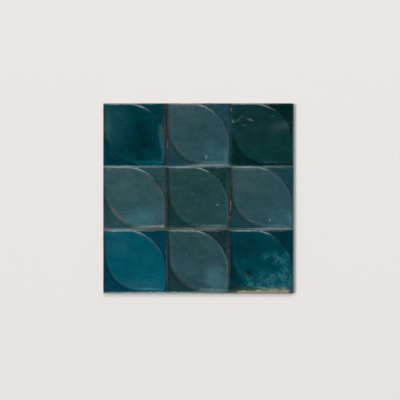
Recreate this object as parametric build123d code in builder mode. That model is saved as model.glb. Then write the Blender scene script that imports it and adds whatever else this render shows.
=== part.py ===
from build123d import *
import math
import os

# Zellige effect wall tile, pressed and glazed as one piece of ceramic.
# Scored joints part its face into square fields, and a leaf stands proud in each.
# It lies face up on its keyed back. The origin is at the middle of the underside,
# +Z is up, and +X and +Y run along the sides.

# The tile, mm
FIELD_COUNT = 3  # fields along each side
FIELD_PITCH = 100.0  # from joint to joint
THICKNESS = 9.5  # from the back's ribs to the top of the leaves
TILE_CORNER = 1.0  # radius of the four upright corners
FOOT_CHAMFER = 0.8  # round the underside

# The joints, mm and degrees. Half a joint runs round the rim.
JOINT_DEPTH = 1.3  # below the ground of a field
JOINT_BED = 0.8  # width of the flat bottom
JOINT_DRAFT = 38.0  # lean of the walls
FIELD_CORNER = 2.2  # radius of a field's corners, at the foot
GROUND_CHAMFER = 0.25  # along the edge of the ground

# The leaves: squares with two opposite corners swept round, mm and degrees
LEAF_RISE = 0.9  # above the ground
LEAF_SHELF = 0.45  # ground between a joint's edge and the foot of a leaf
LEAF_SWEEP = 59.2  # radius of the two round corners, at the foot
LEAF_TIP = 3.6  # radius of the two pointed corners, at the foot
LEAF_DRAFT = 60.0  # lean of the wall
LEAF_EASE = 2.4  # radius along the top edge

# The keyed back: shallow square pockets between ribs, mm and degrees
POCKET_PITCH = 28.0
RIB_WIDTH = 5.0
POCKET_DEPTH = 0.8
POCKET_DRAFT = 30.0
BACK_BORDER = 8.0  # least width of the plain border

side = FIELD_COUNT * FIELD_PITCH
ground_height = THICKNESS - LEAF_RISE
bed_height = ground_height - JOINT_DEPTH
field_foot = FIELD_PITCH - JOINT_BED
field_top = field_foot - 2 * JOINT_DEPTH * math.tan(math.radians(JOINT_DRAFT))
leaf_foot = field_top - 2 * LEAF_SHELF
pocket = POCKET_PITCH - RIB_WIDTH
pocket_count = int((side - 2 * BACK_BORDER + RIB_WIDTH) // POCKET_PITCH)

# One leaf's outline, used in every field
with BuildSketch() as leaf_outline:
    Rectangle(leaf_foot, leaf_foot)
    corners = leaf_outline.vertices().sort_by(Axis((0, 0, 0), (1, 1, 0)))
    fillet([corners[0], corners[-1]], radius=LEAF_SWEEP)
    points = leaf_outline.vertices().sort_by(Axis((0, 0, 0), (1, -1, 0)))
    fillet([points[0], points[-1]], radius=LEAF_TIP)

with BuildPart() as tile:
    # The slab, up to the bed of the joints
    with BuildSketch(Plane.XY):
        RectangleRounded(side, side, TILE_CORNER)
    extrude(amount=bed_height)
    chamfer(tile.edges().group_by(Axis.Z)[0], length=FOOT_CHAMFER)

    # The fields, which leave the joints between them
    with BuildSketch(Plane.XY.offset(bed_height)):
        with GridLocations(FIELD_PITCH, FIELD_PITCH, FIELD_COUNT, FIELD_COUNT):
            RectangleRounded(field_foot, field_foot, FIELD_CORNER)
    extrude(amount=JOINT_DEPTH, taper=JOINT_DRAFT)
    chamfer(tile.edges().group_by(Axis.Z)[-1], length=GROUND_CHAMFER)

    # The leaves, with an eased top edge
    with BuildSketch(Plane.XY.offset(ground_height)):
        with GridLocations(FIELD_PITCH, FIELD_PITCH, FIELD_COUNT, FIELD_COUNT):
            add(leaf_outline.sketch)
    extrude(amount=LEAF_RISE, taper=LEAF_DRAFT)
    fillet(tile.edges().group_by(Axis.Z)[-1], radius=LEAF_EASE)

    # The pockets of the back
    with BuildSketch(Plane.XY):
        with GridLocations(POCKET_PITCH, POCKET_PITCH, pocket_count, pocket_count):
            Rectangle(pocket, pocket)
    extrude(amount=POCKET_DEPTH, taper=POCKET_DRAFT, mode=Mode.SUBTRACT)

tile.part.label = "tile"
os.makedirs("parts", exist_ok=True)
export_step(tile.part, "parts/tile.step")
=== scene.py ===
# %% [markdown]
# # A zellige effect wall tile
#
# The real thing is one slab of pressed clay under a coloured glaze. Scored joints part its face into
# nine square fields, so that one tile looks like nine hand-cut ones. In each field a leaf stands a
# little proud. The frame below brings in the measured solid, and everything here is laid out in its
# coordinates: +Z is up, out of the glazed face, and +Y is the top of the picture.

# %% Load the frame
import math

import bpy
import numpy as np
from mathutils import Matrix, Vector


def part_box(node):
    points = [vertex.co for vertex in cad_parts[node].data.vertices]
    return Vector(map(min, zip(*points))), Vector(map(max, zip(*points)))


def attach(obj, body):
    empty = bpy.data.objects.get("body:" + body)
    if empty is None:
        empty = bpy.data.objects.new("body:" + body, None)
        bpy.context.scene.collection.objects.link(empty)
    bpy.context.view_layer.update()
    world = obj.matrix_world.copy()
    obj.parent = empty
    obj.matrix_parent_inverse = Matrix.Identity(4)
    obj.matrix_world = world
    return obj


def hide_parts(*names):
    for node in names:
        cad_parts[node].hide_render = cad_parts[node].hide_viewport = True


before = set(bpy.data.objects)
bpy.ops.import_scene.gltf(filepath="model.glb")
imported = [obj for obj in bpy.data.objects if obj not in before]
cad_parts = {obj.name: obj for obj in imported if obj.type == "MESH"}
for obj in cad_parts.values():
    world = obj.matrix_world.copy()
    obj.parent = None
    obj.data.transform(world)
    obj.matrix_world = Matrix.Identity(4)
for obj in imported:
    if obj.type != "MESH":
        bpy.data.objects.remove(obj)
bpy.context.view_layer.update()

tile_low, tile_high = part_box("tile")
MM = 0.001
TILE_SIDE = round((tile_high[0] - tile_low[0]) / MM, 3)
TILE_TOP = round((tile_high[2] - tile_low[2]) / MM, 3)
print("tile side", TILE_SIDE, "mm, height", TILE_TOP, "mm")

# %% [markdown]
# ## Sizes
#
# Lengths in this file are millimetres until the mesh is written, because tile sizes read best so.
# The side and the height come from the frame. The rest repeats the sizes of the solid.

# %% The tile's sizes
FIELDS = 3
PITCH = TILE_SIDE / FIELDS
HALF_PITCH = PITCH / 2
HALF_SIDE = TILE_SIDE / 2

JOINT_DEPTH = 1.3
JOINT_BED = 0.8
JOINT_DRAFT = 38.0
LEAF_RISE = 0.9
LEAF_SHELF = 0.45
LEAF_SWEEP = 59.2
LEAF_TIP = 3.6
FOOT_CHAMFER = 0.8
TILE_CORNER = 1.0
POCKET_PITCH = 28.0
RIB_WIDTH = 5.0
POCKET_DEPTH = 0.8
POCKET_DRAFT = 30.0
POCKET_COUNT = 10

GROUND = TILE_TOP - LEAF_RISE
BED = GROUND - JOINT_DEPTH
JOINT_BRINK = JOINT_BED / 2 + JOINT_DEPTH * math.tan(math.radians(JOINT_DRAFT))
LEAF_HALF = HALF_PITCH - JOINT_BRINK - LEAF_SHELF
print("ground", GROUND, "joint bed", round(BED, 2), "leaf half width", round(LEAF_HALF, 3))

# %% [markdown]
# ## Waves in the clay
#
# Pressed clay sags and the glaze runs, so nothing on such a tile is quite flat or straight. A sum of
# a dozen cosine waves with seeded directions is a cheap, smooth stand-in for that, and it gives the
# same value wherever two neighbouring fields meet. A kind of wave is written as its height, its
# length in mm and its seed.

# %% Helpers for shape
LENGTH_SPREAD = (0.7, 1.5)


def waves(x, y, length, seed, count=12):
    """Sum of `count` cosines whose wavelengths lie round `length` mm, scaled to unit spread."""
    draw = np.random.default_rng(seed)
    angle = draw.uniform(0, 2 * np.pi, count)
    number = 2 * np.pi / (length * draw.uniform(*LENGTH_SPREAD, count))
    phase = draw.uniform(0, 2 * np.pi, count)
    across = x[..., None] * (number * np.cos(angle)) + y[..., None] * (number * np.sin(angle))
    return np.cos(across + phase).sum(-1) * math.sqrt(2 / count)


def swell(level, x, y, *kinds):
    """`level` with waves laid over it: level plus height times waves, for each of the `kinds`."""
    for high, length, seed in kinds:
        level = level + high * waves(x, y, length, seed)
    return level


def smooth(low, high, value):
    """0 below `low`, 1 above `high`, and 3u^2 - 2u^3 between."""
    u = np.clip((value - low) / (high - low), 0, 1)
    return u * u * (3 - 2 * u)


def leaf_depth(u, v):
    """How far a point of a field lies inside the leaf's foot, in mm, negative outside it.
    It is the least of the depths inside four rounded corners: two swept ones, two pointed ones."""

    def corner(a, b, radius):
        """How far outside one corner: the distance from its arc's centre less the radius, and beyond
        the arc's ends how far the point lies past the straight side."""
        centre = LEAF_HALF - radius
        rounded = (a > centre) & (b > centre)
        arc = np.hypot(a - centre, b - centre) - radius
        return np.where(rounded, arc, np.maximum(a, b) - LEAF_HALF)

    outside = np.maximum.reduce([
        corner(u, v, LEAF_SWEEP),
        corner(-u, -v, LEAF_SWEEP),
        corner(-u, v, LEAF_TIP),
        corner(u, -v, LEAF_TIP),
    ])
    return -outside


middle = leaf_depth(np.zeros(1), np.zeros(1))[0]
print("the leaf's middle lies", round(float(middle), 2), "mm inside its foot")

# %% [markdown]
# ## A grid that follows the leaf
#
# A plain square grid would put steps into the swept edges, where the light runs along them. So each
# field's grid is made of rings that follow the leaf's outline and turn into the square of the field
# further out, round a square patch in the middle. The outline is worked out for one side only: the
# leaf is its own mirror image in one diagonal, and the same again when it is turned half round.

# %% Helpers for rings
SIDE_STEPS = 52
PLACES = np.linspace(-1, 1, SIDE_STEPS + 1)
# The share of a side's walk that goes round the pointed corner, and the least radius it keeps in mm
TIP_SHARE = 0.08
TIP_LEAST = 0.4


def leaf_side(inset):
    """The leaf's top side, `inset` mm inside its foot, from the pointed to the swept corner.
    Half a small arc, a straight run and half a large arc, each walked at an even pace."""
    half = LEAF_HALF - inset
    tip = max(LEAF_TIP - inset, TIP_LEAST)
    sweep = LEAF_SWEEP - inset
    turn = (LEAF_HALF - LEAF_SWEEP) / HALF_PITCH
    walk = np.interp(PLACES, [-1, -1 + TIP_SHARE, turn, 1], [0, 1, 2, 3])
    tip_angle = np.radians(135 - 45 * np.clip(walk, 0, 1))
    sweep_angle = np.radians(90 - 45 * np.clip(walk - 2, 0, 1))
    run = np.clip(walk - 1, 0, 1)
    x = np.where(walk < 1, tip - half + tip * np.cos(tip_angle),
                 np.where(walk < 2, (tip - half) * (1 - run) + (half - sweep) * run,
                          half - sweep + sweep * np.cos(sweep_angle)))
    y = np.where(walk < 1, half - tip + tip * np.sin(tip_angle),
                 np.where(walk < 2, half, half - sweep + sweep * np.sin(sweep_angle)))
    return np.stack([x, y], 1)


def square_side(half):
    """The top side of a square, walked at an even pace."""
    return np.stack([PLACES * half, np.full_like(PLACES, half)], 1)


def ring(top):
    """A top side carried all the way round: mirrored in the diagonal, then both turned half round."""
    mirrored = top[::-1, ::-1]
    half_way = np.concatenate([top[:-1], mirrored[:-1]])
    return np.concatenate([half_way, -half_way])


print("points on one side of a ring", len(PLACES))

# %% [markdown]
# The rings start round the patch in the middle and end on the joint's bed. They stand close where the
# surface bends, over the wall and down into the joint, and further apart where it is nearly flat.
# Insets are counted in mm from the leaf's foot, and for the joint from the field's edge.

# %% Rings round one field
CREST_INSET = 6.0
PATCH_HALF = 27.0
PATCH_SHARE = 0.55
INNER_RINGS = 11
WALL_INSETS = (5.0, 4.3, 3.6, 2.9, 2.3, 1.8, 1.3, 0.8, 0.3)
GROUND_SHARES = (0.0, 0.05, 0.14, 0.27, 0.43, 0.6, 0.78, 0.92)
JOINT_INSETS = (1.5, 1.2, 0.9, 0.6, 0.35, 0.0)

# The middle patch is halfway between a square and the leaf drawn small
patch_side = 0.5 * square_side(PATCH_HALF) + 0.5 * PATCH_SHARE * leaf_side(CREST_INSET)
brink_side = square_side(HALF_PITCH - JOINT_INSETS[0])
outward = np.arange(1, INNER_RINGS + 1) / INNER_RINGS
sides = [patch_side]
sides += [patch_side * (1 - w) + leaf_side(CREST_INSET) * w for w in outward]
sides += [leaf_side(inset) for inset in WALL_INSETS]
sides += [leaf_side(0) * (1 - w) + brink_side * w for w in GROUND_SHARES]
sides += [square_side(HALF_PITCH - inset) for inset in JOINT_INSETS]
rings = np.array([ring(side) for side in sides])
print("rings", rings.shape)

# %% [markdown]
# The middle patch is a Coons patch: each inner point is blended from the four sides that face it.
# Its outermost points are the first ring, so patch and rings share them.

# %% One field's grid
steps = SIDE_STEPS
top = rings[0][:steps + 1]
right = rings[0][steps:2 * steps + 1][::-1]
bottom = rings[0][2 * steps:3 * steps + 1][::-1]
left = np.concatenate([rings[0][3 * steps:], rings[0][:1]])
s = np.linspace(0, 1, steps + 1)[:, None, None]
t = np.linspace(0, 1, steps + 1)[None, :, None]
patch = ((1 - t) * bottom[:, None] + t * top[:, None] + (1 - s) * left[None] + s * right[None]
         - (1 - s) * (1 - t) * bottom[0] - s * (1 - t) * bottom[-1] - (1 - s) * t * top[0] - s * t * top[-1])

number = np.arange((steps + 1) ** 2).reshape(steps + 1, steps + 1)
patch_quads = np.stack([
    number[:-1, :-1], number[1:, :-1], number[1:, 1:], number[:-1, 1:],
], -1).reshape(-1, 4)
rim_numbers = np.concatenate([number[:-1, -1], number[-1, :0:-1], number[:0:-1, 0], number[0, :-1]])
ring_numbers = number.size + np.arange((len(rings) - 1) * 4 * steps).reshape(-1, 4 * steps)
ring_numbers = np.concatenate([rim_numbers[None], ring_numbers])
after = np.roll(ring_numbers, -1, axis=1)
ring_quads = np.stack([ring_numbers[:-1], after[:-1], after[1:], ring_numbers[1:]], -1).reshape(-1, 4)
field_points = np.concatenate([patch.reshape(-1, 2), rings[1:].reshape(-1, 2)])
field_quads = np.concatenate([patch_quads, ring_quads])
print("field points", len(field_points), "quads", len(field_quads))

# %% [markdown]
# ## Nine fields, welded
#
# The fields are copies on a three by three grid. Two neighbours have their outermost points at the
# same places, so rounding the places and keeping each once welds them without a gap. Each point then
# keeps its place in its own field, `u` and `v`, and how far it lies from the tile's rim.

# %% Weld the nine fields
WELD_DIGITS = 4
centres = (np.arange(FIELDS) - (FIELDS - 1) / 2) * PITCH
field_centres = np.stack(np.meshgrid(centres, centres), -1).reshape(-1, 2)
all_points = (field_points[None] + field_centres[:, None]).reshape(-1, 2)
all_quads = field_quads[None] + (np.arange(FIELDS ** 2) * len(field_points))[:, None, None]
flat, weld = np.unique(np.round(all_points, WELD_DIGITS), axis=0, return_inverse=True)
face_quads = weld.reshape(-1)[all_quads.reshape(-1, 4)]
x, y = flat[:, 0], flat[:, 1]
column = np.clip(np.floor((x + HALF_SIDE) / PITCH), 0, FIELDS - 1).astype(int)
row = np.clip(np.floor((HALF_SIDE - y) / PITCH), 0, FIELDS - 1).astype(int)
u = x - centres[column]
v = y - centres[::-1][row]
rim_gap = HALF_SIDE - np.maximum(abs(x), abs(y))
print("face points", len(flat), "quads", len(face_quads))

# %% [markdown]
# ## Where the leaf's wall lies
#
# The wall is steep on the leaf's upper right and lies much flatter on its lower left, where the
# photo's edge is wide and faint. Two masks say where that is: `far_side` is 1 towards the lower left
# corner, and `straight` is 1 along the leaf's straight runs and 0 in its sweeps. The straight runs
# on the upper right lie a little off the solid's even outline, as on the pictured tile, and every
# edge wanders by about a tenth of a millimetre, as pressed clay does.

# %% The leaf's wall
FAR_BLEND, STRAIGHT_BLEND = 20, 20
WALL_FOOT, NEAR_HEAD, FAR_HEAD = -1.9, 1.7, 4.9
TOP_EDGE_OUT, RIGHT_EDGE_IN = 0.8, 0.4
EDGE_WAVES = ((0.09, 30, 4), (0.012, 7, 5))

far_side = smooth(-FAR_BLEND, FAR_BLEND, -(u + v))
sweep_start = LEAF_HALF - LEAF_SWEEP
into_sweep = np.maximum(np.minimum(u, v), np.minimum(-u, -v))
straight = 1 - smooth(sweep_start, sweep_start + STRAIGHT_BLEND, into_sweep)
wall_head = NEAR_HEAD + (FAR_HEAD - NEAR_HEAD) * far_side
edge_shift = straight * (1 - far_side) * np.where(v > u, TOP_EDGE_OUT, -RIGHT_EDGE_IN)
depth = leaf_depth(u, v)
wall_depth = swell(depth + edge_shift, x, y, *EDGE_WAVES)
print("wall", round(NEAR_HEAD - WALL_FOOT, 2), "to", round(FAR_HEAD - WALL_FOOT, 2), "mm wide")

# %% [markdown]
# ## Heights
#
# From the bed of a joint the surface climbs to the ground, and from the ground over the soft wall to
# the leaf. Both climbs are smooth steps. Long shallow waves lie over all of it. They only take height
# away, so the face never rises above the solid.

# %% Height of the face
JOINT_FOOT, JOINT_HEAD = 0.1, 1.9
JOINT_WAVES = (0.04, 14, 3)
SAG, SAG_FADE = 0.17, 2.5
SAG_WAVES = ((0.065, 38, 6), (0.022, 15, 7), (0.007, 6, 8))

joint_gap = swell(HALF_PITCH - np.maximum(abs(u), abs(v)), x, y, JOINT_WAVES)
sag = swell(SAG, x, y, *SAG_WAVES)
height = BED + JOINT_DEPTH * smooth(JOINT_FOOT, JOINT_HEAD, joint_gap)
height += LEAF_RISE * smooth(WALL_FOOT, wall_head, wall_depth)
height -= np.clip(sag, 0, None) * smooth(0, SAG_FADE, rim_gap)
print("height from", round(height.min(), 2), "to", round(height.max(), 2), "mm")

# %% [markdown]
# ## The colours of the glazes
#
# Zellige is glazed in small batches, so no two squares match. Each shade is named for what it looks
# like. The other colours are what shows beside a shade: deeper or bluer drifts in the glaze, ash
# specks, brown stain in the joints, and the clay itself where the glaze has left it bare. The pale ash
# colour also paints highlights along the tops of the fields and in the level joints.

# %% Colours
def linear(code):
    """An sRGB hex colour as linear numbers: a straight line when dark, a power of 2.4 above that."""
    part = np.array([int(code[i:i + 2], 16) / 255 for i in (1, 3, 5)])
    return np.where(part <= 0.04045, part / 12.92, ((part + 0.055) / 1.055) ** 2.4)


SHADES = {
    "petrol": "#00353e",
    "bottle": "#0d3232",
    "teal": "#003c46",
    "peacock": "#024e5d",
    "slate": "#2c4b51",
    "mist": "#315156",
    "moss": "#234446",
}
DRIFTS = {
    "ink": "#00242a",
    "grey teal": "#2e5a62",
    "blue teal": "#04586a",
    "blue": "#30606e",
    "sky": "#4a7a88",
    "lagoon": "#2a6a74",
    "verdigris": "#2a666a",
    "grey": "#526468",
    "green": "#053634",
    "sage": "#4a5c50",
    "brown": "#524b3f",
    "olive": "#2b2a20",
    "mauve": "#625a5e",
    "bone": "#a69e92",
    # Ash specks, and the painted highlights along the tops of the fields and in the level joints
    "ash_and_highlight": "#93a6a8",
    "chalk": "#c6cac7",
}
colours = {name: linear(code) for name, code in (SHADES | DRIFTS).items()}
print("shades", list(SHADES), "drifts", len(DRIFTS))

# %% [markdown]
# ## Drifts, specks and stains
#
# What makes a field look hand glazed is where things lie in it: a paler band down one side, a brown
# edge on a leaf, a speck of ash. Each is a dab: an ellipse with a soft edge, at a place in its field,
# with its two half lengths, the turn of the long one, a colour and a strength. Two of the fields
# are prints of one master, so they share one list. Beside its dabs a field has its shade and how
# thick its glaze lies on the low ground round the leaf.

# %% The shared print
MASTER_SLATE = [
    # Drifts
    (-24, 24, 22, 18, 0, "grey", 0.15), (2, 8, 26, 20, 20, "moss", 0.3),
    (28, -30, 20, 14, -30, "blue", 0.5), (44, -36, 4.5, 16, 0, "sky", 0.25),
    (-42, -40, 11, 11, 0, "blue teal", 0.4), (-44, -42, 10, 10, 0, "ink", 0.2),
    (40, 38, 12, 14, 0, "blue teal", 0.15),
    # An upright fleck, then the leaf's pale bottom edge, and a painted highlight along its top edge
    (12.5, -34.5, 2.8, 1.3, 90, "ash_and_highlight", 0.5), (18, -47.9, 34, 2.0, 0, "ash_and_highlight", 0.62),
    (24, -44.2, 24, 2.4, 0, "grey", 0.5), (-20, 45.5, 30, 3.0, 0, "grey", 0.35),
]
print("dabs in the shared print", len(MASTER_SLATE))

# %% [markdown]
# The top row goes from deep petrol over the shared print to bottle green, where a crooked trail of
# ash crosses the leaf's upper left.

# %% Top row
TOP_ROW = [
    ("petrol", 1.0, [
        # Paler down the left, deep in the middle, paler again down the right and along the bottom
        (-32, 16, 36, 16, 90, "grey teal", 0.25), (-42, 14, 32, 5, 90, "grey teal", 0.4),
        (10, -6, 34, 17, 90, "ink", 0.7), (43.5, -8, 36, 4.4, 90, "grey teal", 0.6),
        (24, -44, 26, 4, 0, "blue teal", 0.4), (-42, -42, 14, 12, 0, "ink", 0.2),
    ]),
    ("slate", 1.12, MASTER_SLATE),
    ("bottle", 1.15, [
        # Drifts
        (30, 12, 18, 11, 10, "grey", 0.18), (6, -28, 36, 12, 0, "green", 0.6),
        (20, 38, 18, 7, 0, "ink", 0.45),
        # A crooked trail of ash with dark streaks beside it
        (-36, 17.5, 8, 1.6, 12, "ink", 0.4), (-24, 21, 4, 1.2, -20, "ink", 0.35),
        (-38.5, 23, 5, 1.1, 38, "ash_and_highlight", 0.15), (-31.5, 28, 3.2, 1.1, 20, "ash_and_highlight", 0.16),
        (-23, 25.6, 2.6, 1.0, -10, "ash_and_highlight", 0.16), (-18, 23.8, 2.8, 1.6, -20, "ash_and_highlight", 0.32),
        (-13.5, 22, 1.8, 1.0, -50, "ash_and_highlight", 0.14), (-28, 15, 7, 1.2, -10, "ash_and_highlight", 0.05),
        # Specks and a paler edge along the joint, and one fleck at the top right
        (-46, 22, 1.4, 1.7, 0, "ash_and_highlight", 0.5), (-48.2, 40, 2.6, 1.1, 80, "bone", 0.6),
        (-48.4, 26, 22, 2.6, 90, "sage", 0.35), (17, 30, 4, 1.6, 20, "grey teal", 0.4),
    ]),
]
print("dabs in the top row", [len(dabs) for _, _, dabs in TOP_ROW])

# %% [markdown]
# The middle row is the greyest. Its left field is the most worn, with brown and mauve along nearly
# every edge. Its right field is the shared print again.

# %% Middle row
MIDDLE_ROW = [
    ("mist", 1.1, [
        # Drifts
        (-12, 16, 24, 14, 0, "grey", 0.12), (10, -28, 32, 13, 5, "blue", 0.5),
        (12, -34, 28, 9, 5, "sky", 0.25), (-44, -8, 30, 5, 90, "moss", 0.5),
        # Stained and worn edges
        (43, 2, 12, 2.0, -75, "brown", 0.35), (21, -45.2, 27, 1.7, 2, "bone", 0.45),
        (47.6, -8, 40, 2.2, 90, "olive", 0.45), (43.8, -14, 34, 1.6, 90, "sage", 0.35),
        (48.4, -34, 14, 1.6, 90, "brown", 0.6), (-24, 43.6, 26, 1.9, 0, "brown", 0.35),
        (-46, -46.4, 8, 2.2, -25, "mauve", 0.75), (44, -44, 4, 2.6, 0, "bone", 0.3),
    ]),
    ("moss", 1.15, [
        # Drifts
        (28, -18, 22, 14, -30, "slate", 0.4), (0, 10, 26, 20, 0, "green", 0.2),
        (37, 36, 8, 6, 0, "green", 0.4),
        # Specks
        (-9, 7, 1.3, 1.1, 0, "sky", 0.45), (30, -10, 2.0, 1.2, 5, "ash_and_highlight", 0.5),
        (7, 31, 3.2, 1.6, 0, "sage", 0.4), (31.4, 30.6, 1.4, 2.4, 0, "sky", 0.45),
        (26.5, 38.5, 1.4, 1.2, 0, "sky", 0.4), (-14, -21, 3.2, 2.4, 0, "grey teal", 0.4),
        # Edges at the top, the bottom, the right and the left
        (-24, 43.2, 26, 2.0, 0, "brown", 0.25), (-14, -46.5, 34, 2.0, 0, "brown", 0.6),
        (24, -47.2, 24, 1.5, 0, "ash_and_highlight", 0.3), (24, -44.2, 24, 2.6, 0, "grey", 0.65),
        (47, -12, 34, 2.0, 90, "brown", 0.35), (-47, 0, 44, 1.8, 90, "ink", 0.4),
    ]),
    ("slate", 1.16, MASTER_SLATE),
]
print("dabs in the middle row", [len(dabs) for _, _, dabs in MIDDLE_ROW])

# %% [markdown]
# The bottom row starts with the bluest field. In its right field the glaze is mottled, and along the
# bottom edge it is stained round a patch of bare clay.

# %% Bottom row
BOTTOM_ROW = [
    ("peacock", 1.24, [
        # Drifts, two fine lines along the bottom, and the lower left corner
        (-26, 28, 24, 16, -45, "grey teal", 0.18), (26, -30, 30, 12, -20, "blue teal", 0.5),
        (10, -38, 34, 12, 0, "sky", 0.14), (24, -43.5, 26, 2.0, 0, "sky", 0.25),
        (16, -47.5, 30, 1.3, 0, "sky", 0.4), (-40, -40, 12, 12, 0, "grey teal", 0.12),
    ]),
    ("slate", 1.26, [
        # Drifts, then three specks
        (-14, 20, 28, 18, -20, "moss", 0.7), (28, -28, 20, 15, -60, "sky", 0.45),
        (-19, 11, 1.5, 1.3, 0, "sky", 0.45), (36.5, -12.5, 1.8, 1.5, 0, "sky", 0.7),
        (38.5, 45, 1.8, 1.3, 0, "sky", 0.7),
        # Corners and edges
        (-38, -42, 14, 8, 0, "grey teal", 0.3), (45.5, -6, 40, 1.8, 90, "sage", 0.6),
        (22, -46.3, 28, 2.8, 0, "ash_and_highlight", 0.42), (41, 40, 12, 12, 0, "ink", 0.35),
    ]),
    ("teal", 1.16, [
        # Drifts and one dark spot
        (-26, 24, 26, 20, 0, "ink", 0.5), (-21, -18.5, 8.0, 5.0, 0, "ink", 0.8),
        (-44, -43, 10, 6, 0, "olive", 0.4), (38, -4, 8, 12, 0, "blue teal", 0.4),
        (14, -30, 34, 12, 0, "blue teal", 0.4),
        # Stain round the patch that the glaze has left bare
        (-30, -45, 20, 3.0, 0, "brown", 0.5), (6, -44.5, 42, 3.0, 0, "sage", 0.75),
        (2, -47.6, 44, 2.6, 0, "bone", 0.7), (8, -42.0, 40, 3.2, 0, "sage", 0.7),
        (12, -44.8, 32, 1.6, 0, "bone", 0.35), (-14, -45.2, 24, 1.4, 0, "brown", 0.5),
        (45, -40, 4.5, 9, 0, "grey teal", 0.4),
        # Pale spots
        (25, 5.5, 3.6, 3.2, 0, "sky", 0.35), (41, 12, 3.2, 2.4, -45, "lagoon", 0.6),
        (37.7, -24, 3.4, 2.8, 0, "sky", 0.35), (16.6, -21.5, 3.8, 2.6, 0, "sky", 0.25),
        (10, -27, 2.8, 1.8, 0, "sky", 0.35), (16.6, -38.6, 1.8, 2.4, 0, "ash_and_highlight", 0.35),
        (34, -40.6, 4.5, 2.2, -20, "ash_and_highlight", 0.45), (-6.6, -40.6, 3.2, 1.6, 0, "sage", 0.6),
        (20, -44.6, 6, 2.0, 0, "bone", 0.4),
    ]),
]
FIELD_GLAZE = [TOP_ROW, MIDDLE_ROW, BOTTOM_ROW]
print("dabs in the bottom row", [len(dabs) for _, _, dabs in BOTTOM_ROW])

# %% [markdown]
# Some marks follow the leaf's swept edges, where a rim wears first and glaze gathers below it. They
# are dabs too: a side, then the length along the sweep and the depth inside it, two half lengths, a
# colour and a strength. They are listed by the field's row and column.

# %% Dabs along the swept edges
UPPER, LOWER = 1, -1
SWEEP_WEAR = {
    (0, 1): [(LOWER, -6, 3.4, 16, 2.2, "brown", 0.25), (LOWER, 8, 4.4, 14, 2.0, "grey", 0.12)],
    (1, 2): [(LOWER, -6, 3.4, 16, 2.2, "brown", 0.25), (LOWER, 8, 4.4, 14, 2.0, "grey", 0.12)],
    (1, 0): [
        (UPPER, 6, 3.5, 9, 2.8, "brown", 0.35), (UPPER, -7, 1.6, 8, 2.4, "olive", 0.7),
        (UPPER, -16, 6.0, 8, 3.5, "mauve", 0.22), (UPPER, -24, 2.0, 9, 1.8, "sage", 0.4),
        (LOWER, -2, 5.0, 20, 3.0, "mauve", 0.38), (LOWER, -13, 5.0, 2.6, 2.0, "mauve", 0.6),
        (LOWER, 12, 3.4, 7, 1.6, "brown", 0.45),
    ],
    (1, 1): [(LOWER, 20, 2.0, 24, 1.4, "grey", 0.3)],
    (2, 0): [(UPPER, -2, 1.2, 22, 1.3, "mauve", 0.28), (LOWER, 2, 3.0, 24, 1.4, "mauve", 0.16)],
    (2, 1): [
        (LOWER, -2, 4.2, 20, 1.2, "olive", 0.5), (LOWER, 4, 2.0, 34, 1.2, "mauve", 0.3),
        (UPPER, -22, 2.8, 20, 1.0, "grey", 0.5),
    ],
    (2, 2): [(UPPER, 10, 3.2, 5, 3.0, "olive", 0.5), (UPPER, -10, 1.6, 22, 1.8, "ink", 0.5)],
}
print("marks on swept edges", sum(map(len, SWEEP_WEAR.values())))

# %% [markdown]
# Every field gets a painted highlight along the left half of its top edge, where the leaf's top wall
# meets the joint. It is paler along parts of its bottom, where glaze thins on the brink of a joint,
# paler along its right edge, and darker down its left. The joints themselves hold ash and brown stain,
# and the level joints a painted highlight as well. These run on past the fields, so those dabs are
# placed on the whole tile. So are the mottles of the bottom right field.

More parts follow.
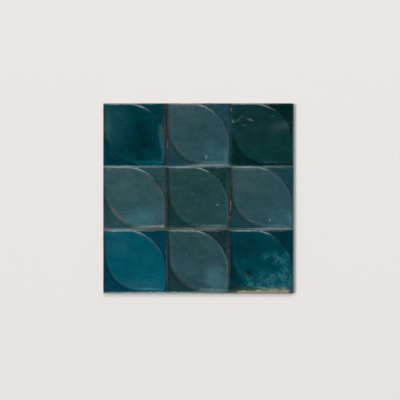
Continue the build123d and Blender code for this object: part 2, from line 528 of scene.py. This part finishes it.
# %% Dabs in the joints and in patches
EVERY_FIELD = [
    # A painted highlight along the left half of the top edge, a pale bottom edge, a darker left edge and a
    # paler right edge
    (-23, 50.0, 29, 1.7, 0, "ash_and_highlight", 0.9), (26, -49.3, 27, 1.2, 0, "ash_and_highlight", 0.3),
    (-48.3, -6, 46, 2.2, 90, "ink", 0.3), (48.9, -18, 34, 1.2, 90, "ash_and_highlight", 0.2),
]
SEAMS = [
    # The two level joints: pale thin glaze with a painted highlight laid over it; then the tile's bottom rim
    (0, 50.4, 220, 1.3, 0, "ash_and_highlight", 0.3), (0, -48.4, 220, 1.5, 0, "ash_and_highlight", 0.18),
    (26, 52.4, 26, 1.8, 0, "ash_and_highlight", 0.35), (-122, 50.2, 30, 1.8, 0, "ash_and_highlight", 0.4),
    (-120, -49.6, 36, 2.0, 0, "ash_and_highlight", 0.5), (0, -48.6, 48, 2.2, 0, "bone", 0.2),
    (122, -48.4, 26, 1.8, 0, "ash_and_highlight", 0.4), (-62, -149.2, 116, 1.4, 0, "chalk", 0.8),
    # The left upright joint, from the top field down to the bottom one
    (-50, 124, 34, 4.4, 90, "brown", 0.6), (-48.6, 88, 40, 2.0, 90, "mauve", 0.3),
    (-50.8, 100, 54, 1.8, 90, "olive", 0.65), (-47.4, 100, 50, 1.5, 90, "olive", 0.3),
    (-55, 130, 22, 6.0, 90, "olive", 0.4), (-49.2, 84, 6, 1.3, 90, "mauve", 0.8),
    (-50.8, -6, 46, 3.0, 90, "brown", 0.5), (-48.3, 0, 50, 1.6, 90, "ink", 0.25),
    (-50.2, -90, 40, 1.3, 90, "grey", 0.6), (-46.8, -104, 46, 1.4, 90, "olive", 0.5),
    (-48.9, -117, 33, 1.2, 90, "mauve", 0.55),
    # The right upright joint, in the same order
    (51.2, 100, 50, 3.0, 90, "grey teal", 0.4), (46.6, 100, 50, 1.8, 90, "grey teal", 0.4),
    (50.0, -4, 48, 2.8, 90, "brown", 0.6), (51.8, -4, 46, 1.2, 90, "olive", 0.4),
    (50.9, -9, 5, 0.9, 90, "bone", 0.5), (50.4, -18, 3.5, 1.0, 90, "bone", 0.4),
    (49.6, -31, 3.0, 1.2, 90, "bone", 0.35), (50.2, -25, 3.0, 1.6, 90, "olive", 0.6),
    (45, -2, 44, 2.4, 90, "grey teal", 0.4), (48.6, -100, 50, 2.0, 90, "sage", 0.6),
    (51.8, -100, 50, 1.3, 90, "ink", 0.2),
]
MOTTLES = [
    (127, -94, 13, 10, 0, "lagoon", 0.8), (104, -93, 8, 6, 0, "lagoon", 0.4),
    (124, -125, 26, 10, 0, "lagoon", 0.8), (82, -131, 18, 8, -35, "verdigris", 0.8),
    (104, -137, 46, 7, 0, "verdigris", 0.8), (116, -141, 34, 4, 0, "sage", 0.6),
    (140, -110, 8, 28, 0, "lagoon", 0.5),
]
print("marks in every field", len(EVERY_FIELD), "in joints", len(SEAMS), "mottled", len(MOTTLES))

# %% [markdown]
# ## Painting the face
#
# Glaze colours drift and have no clean outline. So wide dabs are read at places shifted by long
# waves, and small ones at places shifted by short waves. Each dab mixes its colour into what lies
# there already, as one wash of glaze over another does, so their order matters.

# %% Helpers for paint
SMALL_DAB = 4.0
WIDE_SHIFT, WIDE_LENGTH = 1.8, 40
SMALL_SHIFT, SMALL_LENGTH = 0.18, 9
wide_shifts = [WIDE_SHIFT * waves(x, y, WIDE_LENGTH, seed) for seed in (11, 12)]
small_shifts = [SMALL_SHIFT * waves(x, y, SMALL_LENGTH, seed) for seed in (13, 14)]


def dab(px, py, cx, cy, long, wide, turn):
    """1 in the middle of an ellipse and 0 well outside it: exp(-r^3), r being 1 on its outline."""
    cos, sin = math.cos(math.radians(turn)), math.sin(math.radians(turn))
    along = ((px - cx) * cos + (py - cy) * sin) / long
    across = ((py - cy) * cos - (px - cx) * sin) / wide
    return np.exp(-(along ** 2 + across ** 2) ** 1.5)


def paint(tone, where, px, py, dabs, broken=np.ones(len(flat))):
    """Mixes each dab's colour into the tone of the points picked by `where`:
    tone + (colour - tone) * share, the share being dab * strength * broken."""
    for cx, cy, long, wide, turn, name, strength in dabs:
        dx, dy = small_shifts if min(long, wide) < SMALL_DAB else wide_shifts
        share = dab(px[where] + dx[where], py[where] + dy[where], cx, cy, long, wide, turn) * strength
        tone[where] += (colours[name] - tone[where]) * (share * broken[where])[:, None]


def paint_sweep(tone, where, side, along, inside, long, wide, name, strength):
    """One dab on a swept edge. A point's length along the sweep is the radius times the angle from
    the sweep's middle, seen from its centre."""
    a, b = (side * place - LEAF_HALF + LEAF_SWEEP for place in (u, v))
    on_arc = LEAF_SWEEP * (np.arctan2(b, a) - math.pi / 4)
    sweep = where & (a > 0) & (b > 0)
    paint(tone, sweep, on_arc, depth, [(along, inside, long, wide, 0, name, strength)])


print("a dab is small under", SMALL_DAB, "mm")

# %% [markdown]
# Each field gets its shade, its dabs, the wear on its sweeps and the marks that every field has. The
# mottles and the joints come last, over all of it. The mottles are broken up by a patchy mask, as
# where a glaze has crawled.

# %% Paint the face
PATCHY_FROM, PATCHY_FULLY = -1.2, 1.6
PATCHY_WAVES = ((0.7, 12, 15), (0.7, 5, 16))
patchy = smooth(PATCHY_FROM, PATCHY_FULLY, swell(0, x, y, *PATCHY_WAVES))
everywhere = np.full(len(flat), True)
tone = np.zeros((len(flat), 3))
pooled = np.ones(len(flat))
for i, j in np.ndindex(FIELDS, FIELDS):
    shade, pool, dabs = FIELD_GLAZE[i][j]
    here = (row == i) & (column == j)
    tone[here] = colours[shade]
    pooled[here] = pool
    paint(tone, here, u, v, dabs)
    for mark in SWEEP_WEAR.get((i, j), []):
        paint_sweep(tone, here, *mark)
    paint(tone, here, u, v, EVERY_FIELD)
paint(tone, everywhere, x, y, MOTTLES, patchy)
paint(tone, everywhere, x, y, SEAMS)
print("mean tone of the face", tone.mean(0).round(3))

# %% [markdown]
# ## How thick the glaze lies
#
# A glaze is coloured glass. Where it is thin the light clay shows through, and where it pools it is
# deep and strong. Light that passes through twice the glass is coloured twice, so the colour is
# raised to the power of the thickness. It runs thin over the head of each wall, most of all along
# the leaf's bottom, and pools at its foot. It lies deeper on the low ground than on the leaf.

# %% Glaze thickness
CREST_PAST_HEAD, CREST_WIDTH, CREST_THINS = 0.6, 1.2, 0.09
STRAIGHT_LESS, BOTTOM_MORE = 0.5, 1.8
FOOT_AT, FOOT_WIDTH, FOOT_POOLS = -1.0, 1.0, 0.1
POOL_ENDS, POOL_ENDS_FAR, SHORT_OF_HEAD = -1.0, 1.8, 0.4
FADE_LEAST, FADE_FROM, FADE_FULLY, FADE_LENGTH = 0.5, -1.5, 1, 34
NICK_WAVES = (0.25, 7, 23)
FILM_WAVES = (0.01, 22, 21)

bottom_edge = straight * far_side * (u > v)
crest = np.exp(-((wall_depth - wall_head - CREST_PAST_HEAD) / CREST_WIDTH) ** 2)
crest = crest * (1 - STRAIGHT_LESS * straight + BOTTOM_MORE * bottom_edge)
foot = np.exp(-((wall_depth - FOOT_AT) / FOOT_WIDTH) ** 2)
ground_share = 1 - smooth(POOL_ENDS + POOL_ENDS_FAR * far_side, wall_head - SHORT_OF_HEAD, wall_depth)
fading = FADE_LEAST + (1 - FADE_LEAST) * smooth(FADE_FROM, FADE_FULLY, waves(x, y, FADE_LENGTH, seed=22))
nicks = swell(1, x, y, NICK_WAVES)
film = 1 + (pooled - 1) * ground_share - CREST_THINS * crest * fading * nicks + FOOT_POOLS * foot
film = swell(film, x, y, FILM_WAVES)
print("film", film.min().round(2), film.max().round(2))

# %% [markdown]
# One patch at the bottom right never took the glaze, and the clay shows. Its upper edge is ragged, so
# waves push it up and down.

# %% Bare clay
BARE_FROM, BARE_FULLY = 43.0, 48.0
BARE_LEFT, BARE_RIGHT = (-46, -32), (38, 47)
BARE_WAVES = ((0.8, 16, 31), (0.3, 4, 32))
laid_open = smooth(BARE_FROM, BARE_FULLY, -swell(v, x, y, *BARE_WAVES))
corner_field = (row == FIELDS - 1) & (column == FIELDS - 1)
bare = np.where(corner_field, laid_open * smooth(*BARE_LEFT, u) * (1 - smooth(*BARE_RIGHT, u)), 0)
print("bare points", int((bare > 0.5).sum()))

# %% [markdown]
# ## The sides
#
# The sides are plain clay, with the glaze run over their upper edge by about two millimetres. Their
# rows carry on from the face's outermost points, taken clockwise from the top left. Each row is a
# share of the height at the rim above it, and the last is drawn in for the chamfer at the foot.

# %% Rows down the sides
TOUCHING, TINY = 1e-6, 1e-9
on_rim = np.nonzero(rim_gap < TOUCHING)[0]
rx, ry = x[on_rim], y[on_rim]
on_top = (ry >= HALF_SIDE) & (rx < HALF_SIDE)
on_right = (rx >= HALF_SIDE) & (ry > -HALF_SIDE)
on_bottom = (ry <= -HALF_SIDE) & (rx > -HALF_SIDE)
clockwise = np.select(
    [on_top, on_right, on_bottom], [rx, TILE_SIDE - ry, 2 * TILE_SIDE - rx], 3 * TILE_SIDE + ry)
loop = on_rim[np.argsort(clockwise)]
loop_x, loop_y = x[loop], y[loop]
rim_height = height[loop]

SIDE_HEIGHTS = (0.97, 0.9, 0.8, 0.67, 0.52, 0.34, FOOT_CHAMFER / BED, 0.0)
SIDE_INSETS = (0.0, 0.0, 0.0, 0.0, 0.0, 0.0, 0.0, FOOT_CHAMFER)


def rounded_square(px, py, inset):
    """Points of the rim drawn in by `inset`, with each corner cut to the tile's corner radius."""
    half = HALF_SIDE - inset
    qx, qy = px * half / HALF_SIDE, py * half / HALF_SIDE
    centre = half - TILE_CORNER
    dx, dy = abs(qx) - centre, abs(qy) - centre
    pull = np.where((dx > 0) & (dy > 0), TILE_CORNER / np.maximum(np.hypot(dx, dy), TINY), 1)
    pull = np.minimum(pull, 1)
    return (np.where(pull < 1, np.sign(qx) * (centre + dx * pull), qx),
            np.where(pull < 1, np.sign(qy) * (centre + dy * pull), qy))


side_rows = []
for share, inset in zip(SIDE_HEIGHTS, SIDE_INSETS):
    px, py = rounded_square(loop_x, loop_y, inset)
    level = rim_height * share if share > FOOT_CHAMFER / BED else np.full(len(loop), share * BED)
    side_rows.append(np.stack([px, py, level], 1))
side_rows = np.array(side_rows)
print("side rows", side_rows.shape)

# %% [markdown]
# ## The back
#
# The back is keyed: ribs in a grid, with shallow pockets between them for the adhesive to hold. Its
# grid has a line at each edge of a pocket: one at its mouth and one, a little further in, where the
# sloping wall meets the floor. Its outer edge has fewer points than the rows of the sides, so a belt
# of triangles joins the two. Walking round both at once, each step forward on either loop adds the
# triangle that the step sweeps.

# %% The keyed back
slope = POCKET_DEPTH * math.tan(math.radians(POCKET_DRAFT))
pocket_half = (POCKET_PITCH - RIB_WIDTH) / 2
pocket_centres = (np.arange(POCKET_COUNT) - (POCKET_COUNT - 1) / 2) * POCKET_PITCH
offsets = np.array([-pocket_half, -pocket_half + slope, pocket_half - slope, pocket_half])
BACK_MARGIN = 3.0
inner_lines = (pocket_centres[:, None] + offsets).reshape(-1)
back_half = inner_lines[-1] + BACK_MARGIN
lines = np.concatenate([[-back_half], inner_lines, [back_half]])
is_floor = np.concatenate([[0], np.tile([0, 1, 1, 0], POCKET_COUNT), [0]])
bx, by = np.meshgrid(lines, lines, indexing="ij")
back_points = np.stack([bx, by, POCKET_DEPTH * is_floor[:, None] * is_floor[None]], -1)


def bridge(outer, outer_at, inner, inner_at):
    """Triangles between two loops of point numbers that start together and run the same way.
    `outer_at` and `inner_at` say how far round each point is, from 0 towards 1. The steps of both
    loops are sorted by where they end, which gives the order of the walk."""
    steps_at = np.concatenate([outer_at[1:], [1.0], inner_at[1:], [1.0]])
    is_outer = np.concatenate([np.ones(len(outer)), np.zeros(len(inner))])
    order = np.lexsort((1 - is_outer, steps_at))
    is_outer = is_outer[order].astype(int)
    o = np.cumsum(is_outer) - is_outer
    i = np.cumsum(1 - is_outer) - (1 - is_outer)
    third = np.where(is_outer == 1, outer[(o + 1) % len(outer)], inner[(i + 1) % len(inner)])
    return np.stack([outer[o % len(outer)], third, inner[i % len(inner)]], 1)


print("pockets", POCKET_COUNT ** 2, "back points", bx.size)

# %% [markdown]
# ## One closed mesh
#
# Face, sides and back become one mesh, because the real tile is one piece. First the face's points
# wander a little sideways, so that its joints aren't ruled. That fades out before the rim, where the
# corners are cut round.

# %% Points of the face
WANDER, WANDER_LENGTH, WANDER_FADE = 0.1, 19, 3
fade = smooth(0, WANDER_FADE, rim_gap)
face_x = x + WANDER * waves(x, y, WANDER_LENGTH, seed=41) * fade
face_y = y + WANDER * waves(x, y, WANDER_LENGTH, seed=42) * fade
face_x[loop], face_y[loop] = rounded_square(loop_x, loop_y, 0.0)
face_points = np.stack([face_x, face_y, height], 1)
print("the face wanders by up to", round(float(abs(face_x - x).max()), 2), "mm")

# %% [markdown]
# Then the points of all three are numbered in one go, and each row is joined to the next.

# %% Assemble the tile
def quads_between(upper, lower):
    """Quads from one closed row of point numbers to the next."""
    return np.stack([upper, np.roll(upper, -1), np.roll(lower, -1), lower], 1)


row_count, row_length = side_rows.shape[:2]
first_side = len(face_points)
side_numbers = first_side + np.arange(row_count * row_length).reshape(row_count, row_length)
side_numbers = np.concatenate([loop[None], side_numbers])
side_quads = np.concatenate([quads_between(a, b) for a, b in zip(side_numbers[:-1], side_numbers[1:])])

first_back = first_side + row_count * row_length
back_numbers = first_back + np.arange(bx.size).reshape(bx.shape)
back_quads = np.stack([
    back_numbers[:-1, :-1], back_numbers[:-1, 1:], back_numbers[1:, 1:], back_numbers[1:, :-1],
], -1).reshape(-1, 4)
back_loop = np.concatenate([
    back_numbers[:-1, -1], back_numbers[-1, :0:-1], back_numbers[:0:-1, 0], back_numbers[0, :-1],
])
back_places = np.concatenate([
    back_points[:-1, -1, 0] + back_half,
    2 * back_half + (back_half - back_points[-1, :0:-1, 1]),
    4 * back_half + (back_half - back_points[:0:-1, 0, 0]),
    6 * back_half + (back_points[0, :-1, 1] + back_half),
]) / (8 * back_half)
loop_places = (np.sort(clockwise) + HALF_SIDE) / (4 * TILE_SIDE)
belt = bridge(side_numbers[-1], loop_places, back_loop, back_places)

points = np.concatenate([face_points, side_rows.reshape(-1, 3), back_points.reshape(-1, 3)])
faces = [*face_quads.tolist(), *side_quads.tolist(), *belt.tolist(), *back_quads.tolist()]
mesh = bpy.data.meshes.new("tile")
mesh.from_pydata(points * MM, [], faces)
mesh.validate()
triangles = sum(len(p.vertices) - 2 for p in mesh.polygons)
print("tile points", len(mesh.vertices), "triangles", triangles)

# %% [markdown]
# ## Facts on the points
#
# Besides its place, each point carries three facts that the material reads: its tone, how thick the
# glaze lies, and how far the clay is laid bare. The sides take their tone from the rim above them.
# The glaze's lower edge on the sides is as uneven as a run of glaze is.

# %% Attributes
RUN_OVER, RUN_EDGE = 2.0, 0.7
RUN_WAVES = ((0.8, 17, 51), (0.4, 6, 52))
SIDE_FILM = 0.92
side_tone = np.tile(tone[loop], (row_count, 1))
run_over = swell(RUN_OVER, loop_x, loop_y, *RUN_WAVES)
below_rim = rim_height[None] - side_rows[:, :, 2]
side_bare = smooth(run_over[None] - RUN_EDGE, run_over[None] + RUN_EDGE, below_rim).reshape(-1)

point_tone = np.concatenate([tone, side_tone, np.tile(colours["grey"], (bx.size, 1))])
point_film = np.concatenate([film, np.full(len(side_bare), SIDE_FILM), np.ones(bx.size)])
point_bare = np.concatenate([bare, side_bare, np.ones(bx.size)])


def add_attribute(name, kind, values):
    """Writes one value per point, as a number or as a linear colour."""
    if kind == "FLOAT_COLOR":
        values = np.concatenate([values, np.ones((len(values), 1))], 1)
    field = "color" if kind == "FLOAT_COLOR" else "value"
    mesh.attributes.new(name, kind, "POINT").data.foreach_set(field, values.astype(np.float32).reshape(-1))


add_attribute("tone", "FLOAT_COLOR", point_tone)
add_attribute("film", "FLOAT", point_film)
add_attribute("bare", "FLOAT", point_bare)
FACTS = ("tone", "film", "bare")
print("attributes", [a.name for a in mesh.attributes if a.name in FACTS])

# %% [markdown]
# ## A flat map of the surface
#
# A texture can be baked only onto a surface laid out flat without overlaps. The face fills most of
# the map. Beside it lies the back at about half the size, and above it the four sides are four
# strips, drawn about three times too tall so that the glaze's run on them keeps enough pixels.

# %% The map
GAP = 0.01
FACE_SHARE, BACK_SHARE = 0.66, 0.31
STRIP_SHARE = (1 - FACE_SHARE - 2 * GAP) / 4

on_face = GAP / 2 + (flat[face_quads] / TILE_SIDE + 0.5) * FACE_SHARE

ends = np.append(loop_places, 1.0) * 4
strip = np.minimum(np.floor(ends[:-1] + TINY), 3)
levels = np.array([1.0, *SIDE_HEIGHTS])
left_u, right_u = ends[:-1] - strip, ends[1:] - strip
strip_u = np.stack([left_u, right_u, right_u, left_u], 1)
strip_v = np.stack([levels[:-1], levels[:-1], levels[1:], levels[1:]], 1)
on_sides = np.stack([
    GAP / 2 + np.broadcast_to(strip_u * FACE_SHARE, (len(strip_v), *strip_u.shape)),
    FACE_SHARE + GAP + (strip[:, None] + strip_v[:, None] * (1 - GAP / STRIP_SHARE)) * STRIP_SHARE,
], -1)

back_corner = np.array([FACE_SHARE + 2 * GAP, GAP / 2])
places = points[:, :2] / TILE_SIDE + 0.5
on_belt, on_back = (back_corner + places[group] * BACK_SHARE for group in (belt, back_quads))

uv = np.concatenate([part.reshape(-1) for part in (on_face, on_sides, on_belt, on_back)])
mesh.uv_layers.new(name="OFBake").data.foreach_set("uv", uv.astype(np.float32))
print("map from", uv.min().round(3), "to", uv.max().round(3))

# %% [markdown]
# ## Glazed earthenware
#
# The material is a lead-free coloured glaze, fired glossy over pressed earthenware. A glaze is
# glass, so it bends light nearly as glass does, and its low roughness varies a little where it has
# crawled. Bare clay is rough and the colour of pale terracotta. One shader holds both, and the
# `bare` mask, broken up by fine noise, says which shows. The real grain and grit are finer than the
# picture can show, so they are drawn as coarse as they need to be.

# %% Material helpers
def add(tree, kind, links=None, **settings):
    """Adds a node, sets its properties, then fills its inputs with values or with other outputs.
    A node given in place of an output stands for its first one."""
    made = tree.nodes.new(kind)
    for name, value in settings.items():
        setattr(made, name, value)
    for name, value in (links or {}).items():
        value = value.outputs[0] if isinstance(value, bpy.types.Node) else value
        if isinstance(value, bpy.types.NodeSocket):
            tree.links.new(value, made.inputs[name])
        else:
            made.inputs[name].default_value = value
    return made


def rgba(code):
    """An sRGB hex colour as the linear RGBA that a colour socket takes."""
    return (*linear(code), 1.0)


# How large each kind is in mm, how much finer detail it holds, and whether it is drawn out sideways
LUMPS = {
    "clouds": (14.0, 3, True),
    "grain": (3.0, 6, True),
    "clay_tint": (1.6, 6, False),
    "orange_peel": (6.0, 1, False),
    "ripple": (1.3, 2, False),
    "grit": (0.9, 6, False),
}
BRUSHED = (0.6, 1.5, 1.0)


def lumps_on(tree, place):
    """One noise for each kind of unevenness, its scale being one over the size."""
    brushed = add(tree, "ShaderNodeMapping", {"Vector": place, "Scale": BRUSHED})
    return {name: add(tree, "ShaderNodeTexNoise", {
        "Vector": brushed if drawn_out else place, "Scale": 1 / (size * MM), "Detail": detail,
    }) for name, (size, detail, drawn_out) in LUMPS.items()}


print("kinds of unevenness", {name: f"{size} mm" for name, (size, *_) in LUMPS.items()})

# %% [markdown]
# The glaze's thickness is the film on the point times a noise near 1, which gives the eye the soft
# mottling of a hand-poured glaze. The bump is what breaks up its mirror images: a slow orange peel
# and a fine ripple in the glaze, and a deeper grit on the clay.

# %% The glazed material
GLAZE_IOR = 1.47
CLAY_PALE, CLAY_DARK = "#a89b90", "#7c7067"
LEAST_FILM, GRAIN_FILM, CLOUD_FILM = 0.72, 0.34, 0.22
BARE_BROKEN, BARE_STARTS, BARE_ENDS = 0.7, 0.68, 1.02
LEAST_ROUGH, CLOUD_ROUGH, CLAY_ROUGH = 0.12, 0.12, 0.85
RIPPLE_MM, PEEL_MM, GRIT_MM = 0.004, 0.018, 0.2


def glazed_earthenware():
    """Tinted glass of uneven thickness over pale clay, and the rough clay itself where it is bare."""
    material = bpy.data.materials.new("glazed_earthenware")
    material.use_nodes = True
    tree = material.node_tree
    tree.nodes.clear()
    lumps = lumps_on(tree, add(tree, "ShaderNodeTexCoord").outputs["Object"])
    facts = {name: add(tree, "ShaderNodeAttribute", attribute_name=name) for name in FACTS}

    uneven = add(tree, "ShaderNodeMath", {0: lumps["grain"], 1: GRAIN_FILM, 2: LEAST_FILM},
                 operation="MULTIPLY_ADD")
    uneven = add(tree, "ShaderNodeMath", {0: lumps["clouds"], 1: CLOUD_FILM, 2: uneven},
                 operation="MULTIPLY_ADD")
    thickness = add(tree, "ShaderNodeMath", {0: uneven, 1: facts["film"].outputs["Fac"]},
                    operation="MULTIPLY")
    glaze = add(tree, "ShaderNodeGamma", {"Color": facts["tone"], "Gamma": thickness})
    clay = add(tree, "ShaderNodeMix", {0: lumps["clay_tint"], 6: rgba(CLAY_PALE), 7: rgba(CLAY_DARK)},
               data_type="RGBA")
    edge = add(tree, "ShaderNodeMath", {0: lumps["grain"], 1: BARE_BROKEN, 2: facts["bare"].outputs["Fac"]},
               operation="MULTIPLY_ADD")
    shows = add(tree, "ShaderNodeMapRange", {"Value": edge, "From Min": BARE_STARTS, "From Max": BARE_ENDS},
                interpolation_type="SMOOTHSTEP")
    colour = add(tree, "ShaderNodeMix", {0: shows, 6: glaze, 7: clay.outputs[2]}, data_type="RGBA")

    gloss = add(tree, "ShaderNodeMath", {0: lumps["clouds"], 1: CLOUD_ROUGH, 2: LEAST_ROUGH},
                operation="MULTIPLY_ADD")
    roughness = add(tree, "ShaderNodeMix", {0: shows, 2: gloss, 3: CLAY_ROUGH}, data_type="FLOAT")

    ripple = add(tree, "ShaderNodeMath", {0: lumps["ripple"], 1: RIPPLE_MM}, operation="MULTIPLY")
    peel = add(tree, "ShaderNodeMath", {0: lumps["orange_peel"], 1: PEEL_MM, 2: ripple},
               operation="MULTIPLY_ADD")
    grit = add(tree, "ShaderNodeMath", {0: lumps["grit"], 1: GRIT_MM}, operation="MULTIPLY")
    relief = add(tree, "ShaderNodeMix", {0: shows, 2: peel, 3: grit}, data_type="FLOAT")
    bumps = add(tree, "ShaderNodeBump", {"Height": relief, "Distance": MM, "Strength": 1.0})

    shader = add(tree, "ShaderNodeBsdfPrincipled", {
        "Base Color": colour.outputs[2], "Roughness": roughness, "IOR": GLAZE_IOR, "Normal": bumps,
    })
    add(tree, "ShaderNodeOutputMaterial", {"Surface": shader})
    return material


glazed = glazed_earthenware()
print("material", glazed.name, "nodes", len(glazed.node_tree.nodes))

# %% [markdown]
# ## Dressing the solid
#
# The mesh takes the place of the measured solid, in the same coordinates, so its object stays at the
# origin. Smooth shading hides the grid on the soft relief, and edges sharper than the angle below,
# such as the rim and the mouths of the pockets, stay crisp.

# %% Dress the tile
SHARP_EDGE = 30
tile = bpy.data.objects.new("glazed_tile", mesh)
bpy.context.scene.collection.objects.link(tile)
mesh.materials.append(glazed)
mesh.polygons.foreach_set("use_smooth", np.ones(len(mesh.polygons), bool))
mesh.set_sharp_from_angle(angle=math.radians(SHARP_EDGE))
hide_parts("tile")
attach(tile, "root")
print("dressed", tile.name, "at", tuple(tile.location))

# %% [markdown]
# ## Floor
#
# The tile lies on a plain pale sheet. A sheet far wider than the picture keeps its edge out of sight.
# It is uncoated paper, which scatters light evenly and mirrors nothing, so the eye gets the tile's
# soft shadow and nothing else.

# %% Floor
FLOOR_WIDTH = 12.0
PAPER, PAPER_ROUGH = "#e9e5e3", 0.95
bpy.ops.mesh.primitive_plane_add(size=FLOOR_WIDTH)
floor = bpy.context.object
floor.name = "pale_sheet"
paper = bpy.data.materials.new("matt_paper")
paper.use_nodes = True
paper_shader = paper.node_tree.nodes["Principled BSDF"]
paper_shader.inputs["Base Color"].default_value = rgba(PAPER)
paper_shader.inputs["Roughness"].default_value = PAPER_ROUGH
paper_shader.inputs["Specular IOR Level"].default_value = 0.0
floor.data.materials.append(paper)
print("floor", FLOOR_WIDTH, "m wide")

# %% [markdown]
# ## Lamps
#
# Two lamps light the tile. A wide window stands beyond its top edge. It is what the walls that face
# it mirror, so it draws the bright lines along the leaves. A broad key on the left throws the soft
# shadow to the right and leaves no mirror image.

# %% Lamps
WINDOW_DISTANCE, WINDOW_RISE = 8.0, 53
WINDOW_SIZE = (4.2, 2.3)
WINDOW_POWER, WINDOW_COLOUR = 220, (0.93, 0.98, 1.0)
KEY_RISE, KEY_TURN, KEY_SPREAD = 58, -80, 24
KEY_STRENGTH, KEY_COLOUR = 2.06, (1.0, 0.985, 0.96)


def lamp(name, kind, turn, rise, distance):
    """A lamp that looks at the tile from `turn` degrees round from +Y and `rise` above the floor."""
    made = bpy.data.objects.new(name, bpy.data.lights.new(name, kind))
    bpy.context.scene.collection.objects.link(made)
    turn, rise = math.radians(turn), math.radians(rise)
    towards = (math.cos(rise) * math.sin(turn), math.cos(rise) * math.cos(turn), math.sin(rise))
    made.location = [distance * p for p in towards]
    made.rotation_euler = made.location.to_track_quat("Z", "Y").to_euler()
    return made


window = lamp("window", "AREA", 0, WINDOW_RISE, WINDOW_DISTANCE)
window.data.shape = "RECTANGLE"
window.data.size, window.data.size_y = WINDOW_SIZE
window.data.energy = WINDOW_POWER
window.data.color = WINDOW_COLOUR
key = lamp("key", "SUN", KEY_TURN, KEY_RISE, WINDOW_DISTANCE)
key.data.angle = math.radians(KEY_SPREAD)
key.data.energy = KEY_STRENGTH
key.data.color = KEY_COLOUR
key.visible_glossy = False

# %% [markdown]
# ## Surround
#
# What is seen or mirrored of the room is pale near the horizon and dark overhead, so a flat glaze
# looked at from above mirrors the dark and keeps its depth. The light that the room sheds is one
# even, low level, whichever way a surface faces.

# %% Surround
AMBIENT, ROOM = 0.215, "#f4f8fb"
HORIZON, OVERHEAD, HORIZON_STRENGTH = 0.05, 0.55, 0.85
world = bpy.data.worlds.new("surround")
bpy.context.scene.world = world
world.use_nodes = True
room = world.node_tree
room.nodes.clear()
ray = add(room, "ShaderNodeLightPath")
sight = add(room, "ShaderNodeTexCoord").outputs["Generated"]
upward = add(room, "ShaderNodeSeparateXYZ", {0: sight}).outputs["Z"]
seen = add(room, "ShaderNodeMapRange", {
    "Value": upward, "From Min": HORIZON, "From Max": OVERHEAD, "To Min": HORIZON_STRENGTH, "To Max": 0.0,
}, interpolation_type="SMOOTHSTEP")
direct = add(room, "ShaderNodeMath", {
    0: ray.outputs["Is Camera Ray"], 1: ray.outputs["Is Glossy Ray"],
}, operation="MAXIMUM")
direct = add(room, "ShaderNodeMath", {0: direct, 1: ray.outputs["Is Transmission Ray"]}, operation="MAXIMUM")
level = add(room, "ShaderNodeMix", {0: direct, 2: AMBIENT, 3: seen}, data_type="FLOAT")
surround = add(room, "ShaderNodeBackground", {"Color": rgba(ROOM), "Strength": level})
add(room, "ShaderNodeOutputWorld", {"Surface": surround})
print("surround nodes", len(room.nodes))

# %% [markdown]
# ## Camera
#
# The picture looks straight down. The tile's outline in it, 190 pixels for 300 mm, gives how wide a
# strip 400 pixels show, and the tile sits a little left of and above the middle. A perspective
# camera 4 m up keeps the sides out of sight and mirrors the same part of the room all over the face.

# %% Camera
PICTURE_PIXELS, PIXELS_PER_MM = 400, 0.634
AXIS_X_MM, AXIS_Y_MM = 2.53, -2.6
CAMERA_HEIGHT = 4.0
camera = bpy.data.objects.new("camera", bpy.data.cameras.new("camera"))
bpy.context.scene.collection.objects.link(camera)
camera.location = (AXIS_X_MM * MM, AXIS_Y_MM * MM, BED * MM + CAMERA_HEIGHT)
camera.data.angle = 2 * math.atan(PICTURE_PIXELS / PIXELS_PER_MM * MM / 2 / CAMERA_HEIGHT)
bpy.context.scene.camera = camera
bpy.context.scene.view_settings.view_transform = "Standard"
print("camera", tuple(round(c, 4) for c in camera.location))
